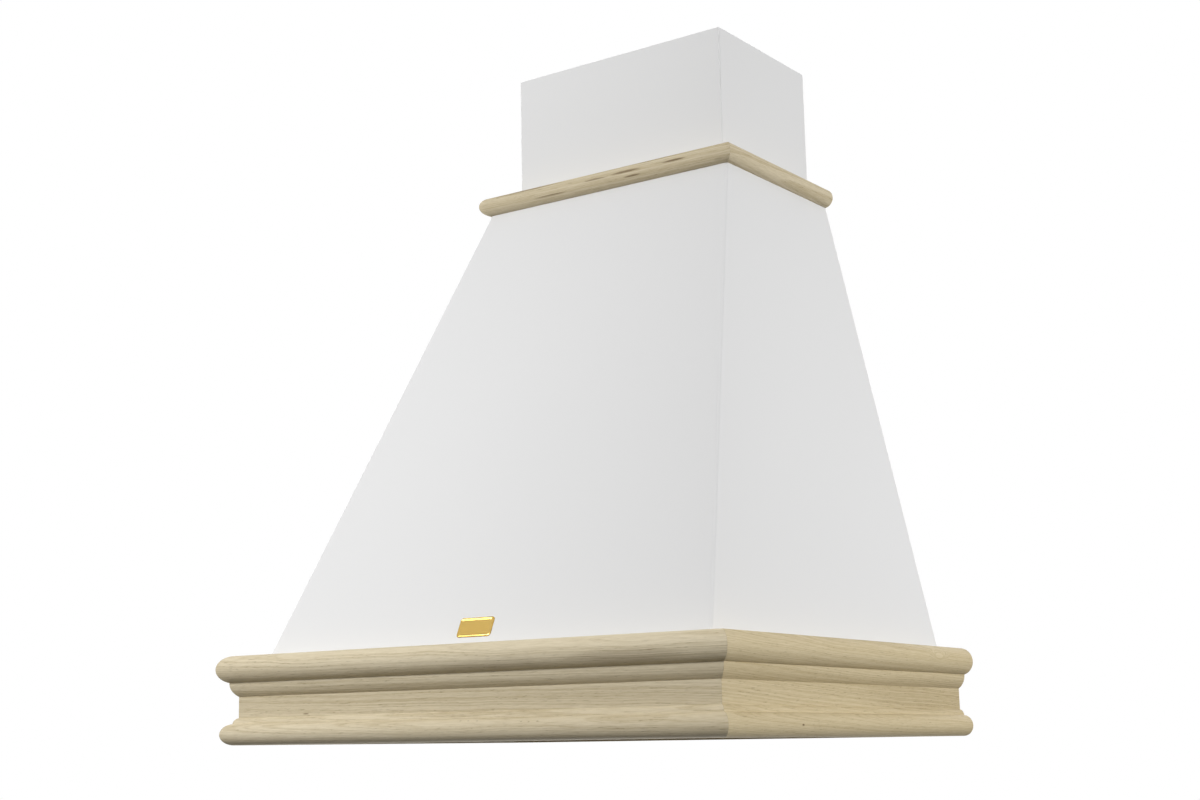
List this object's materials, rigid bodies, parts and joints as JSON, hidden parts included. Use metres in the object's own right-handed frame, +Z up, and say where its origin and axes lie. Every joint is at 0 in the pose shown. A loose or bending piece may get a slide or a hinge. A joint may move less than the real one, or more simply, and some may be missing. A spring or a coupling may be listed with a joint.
{
  "type": "wall-mounted cooker hood with wooden trim",
  "caption": "Wall-hung country cooker hood: tapered white sheet casing and chimney on a moulded oak frame, half-round oak collar, tilting grease filters and a blower inside.",
  "frame": {"origin": "middle of the back, in the wall plane, level with the underside of the wooden frame", "axes": "+X to the right of someone facing the hood, +Y into the wall, +Z up"},
  "size_m": [0.6, 0.4865, 0.748],
  "materials": {
    "oak_moulding": "raw pale oak, open grain",
    "oak_collar": "raw pale oak, open grain",
    "hidden_wood": "planed softwood and beech",
    "white_enamel": "white semi-matt powder coat",
    "galvanised_steel": "bright zinc spangle",
    "tray_enamel": "light grey powder coat",
    "filter_frame_metal": "satin anodised",
    "filter_mesh_metal": "bright expanded mesh",
    "latch_plastic": "black moulded",
    "lamp_metal": "die-cast",
    "bezel_metal": "satin chrome",
    "lens_glass": "frosted",
    "switch_plastic": "black gloss",
    "button_plastic": "pale grey moulded",
    "control_plastic": "dark grey moulded",
    "scroll_plastic": "black moulded",
    "impeller_plastic": "grey moulded",
    "motor_steel": "dark satin",
    "shaft_steel": "ground",
    "mount_rubber": "black",
    "spigot_plastic": "black moulded",
    "flap_plastic": "dark grey moulded",
    "zinc_screw": "zinc plated",
    "terminal_plastic": "white moulded",
    "brass_trim": "polished brass",
    "capacitor_plastic": "white moulded"
  },
  "bodies": {
    "hood": {"front_moulding": "oak_moulding", "left_moulding": "oak_moulding", "right_moulding": "oak_moulding", "rear_rail": "hidden_wood", "mitre_dowels": "hidden_wood", "corner_brackets": "galvanised_steel", "frame_screws": "zinc_screw", "casing_screws": "zinc_screw", "collar_screws": "zinc_screw", "casing": "white_enamel", "back_panel": "galvanised_steel", "collar_front": "oak_collar", "collar_left": "oak_collar", "collar_right": "oak_collar", "chimney_lower": "white_enamel", "underside_panel": "tray_enamel", "lamp_bodies": "lamp_metal", "lamp_bezels": "bezel_metal", "lamp_lenses": "lens_glass", "switch_plate": "switch_plastic", "control_box": "control_plastic", "scroll_left": "scroll_plastic", "scroll_right": "scroll_plastic", "inlet_rings": "scroll_plastic", "motor": "motor_steel", "motor_bracket": "motor_steel", "motor_mounts": "mount_rubber", "motor_bolts": "zinc_screw", "blower_brackets": "galvanised_steel", "blower_screws": "zinc_screw", "outlet_adapter": "spigot_plastic", "flap_pin": "shaft_steel", "terminal_box": "terminal_plastic", "terminal_box_lid": "terminal_plastic", "cable_gland": "brass_trim", "capacitor": "capacitor_plastic", "capacitor_clamp": "galvanised_steel"},
    "upper_chimney": {"chimney_upper": "white_enamel", "chimney_bracket": "galvanised_steel", "chimney_screws": "zinc_screw"},
    "filter_left": {"filter_left_frame": "filter_frame_metal", "filter_left_mesh": "filter_mesh_metal"},
    "filter_right": {"filter_right_frame": "filter_frame_metal", "filter_right_mesh": "filter_mesh_metal"},
    "filter_latch_left": {"filter_left_latch": "latch_plastic"},
    "filter_latch_right": {"filter_right_latch": "latch_plastic"},
    "button_light": {"button_light": "button_plastic"},
    "button_off": {"button_off": "button_plastic"},
    "button_low": {"button_low": "button_plastic"},
    "button_medium": {"button_medium": "button_plastic"},
    "button_high": {"button_high": "button_plastic"},
    "impeller": {"impeller": "impeller_plastic", "motor_shaft": "shaft_steel"},
    "flap_front": {"flap_front": "flap_plastic"},
    "flap_rear": {"flap_rear": "flap_plastic"}
  },
  "joints": [
    {"name": "chimney_slide", "type": "slide", "parent": "hood", "child": "upper_chimney", "axis": [0, 0, 1], "range_m": [0, 0.22]},
    {"name": "impeller_spin", "type": "hinge", "parent": "hood", "child": "impeller", "pos_m": [0, -0.1727, 0.25], "axis": [1, 0, 0], "continuous": true},
    {"name": "filter_left_tilt", "type": "hinge", "parent": "hood", "child": "filter_left", "pos_m": [-0.1195, -0.0485, 0.03115], "axis": [1, 0, 0], "range_deg": [0, 50]},
    {"name": "filter_left_latch_slide", "type": "slide", "parent": "filter_left", "child": "filter_latch_left", "axis": [0, 1, 0], "range_m": [0, 0.0055], "stiffness_N_per_m": 300, "springref_m": -0.004},
    {"name": "filter_right_tilt", "type": "hinge", "parent": "hood", "child": "filter_right", "pos_m": [0.1195, -0.0485, 0.03115], "axis": [1, 0, 0], "range_deg": [0, 50]},
    {"name": "filter_right_latch_slide", "type": "slide", "parent": "filter_right", "child": "filter_latch_right", "axis": [0, 1, 0], "range_m": [0, 0.0055], "stiffness_N_per_m": 300, "springref_m": -0.004},
    {"name": "button_light_press", "type": "slide", "parent": "hood", "child": "button_light", "axis": [0, 0, 1], "range_m": [0, 0.0025], "stiffness_N_per_m": 300, "springref_m": -0.002},
    {"name": "button_off_press", "type": "slide", "parent": "hood", "child": "button_off", "axis": [0, 0, 1], "range_m": [0, 0.0025], "stiffness_N_per_m": 300, "springref_m": -0.002},
    {"name": "button_low_press", "type": "slide", "parent": "hood", "child": "button_low", "axis": [0, 0, 1], "range_m": [0, 0.0025], "stiffness_N_per_m": 300, "springref_m": -0.002},
    {"name": "button_medium_press", "type": "slide", "parent": "hood", "child": "button_medium", "axis": [0, 0, 1], "range_m": [0, 0.0025], "stiffness_N_per_m": 300, "springref_m": -0.002},
    {"name": "button_high_press", "type": "slide", "parent": "hood", "child": "button_high", "axis": [0, 0, 1], "range_m": [0, 0.0025], "stiffness_N_per_m": 300, "springref_m": -0.002},
    {"name": "flap_front_swing", "type": "hinge", "parent": "hood", "child": "flap_front", "pos_m": [0, -0.0922, 0.433], "axis": [-1, 0, 0], "range_deg": [0, 80]},
    {"name": "flap_rear_swing", "type": "hinge", "parent": "hood", "child": "flap_rear", "pos_m": [0, -0.0922, 0.433], "axis": [1, 0, 0], "range_deg": [0, 80]}
  ]
}
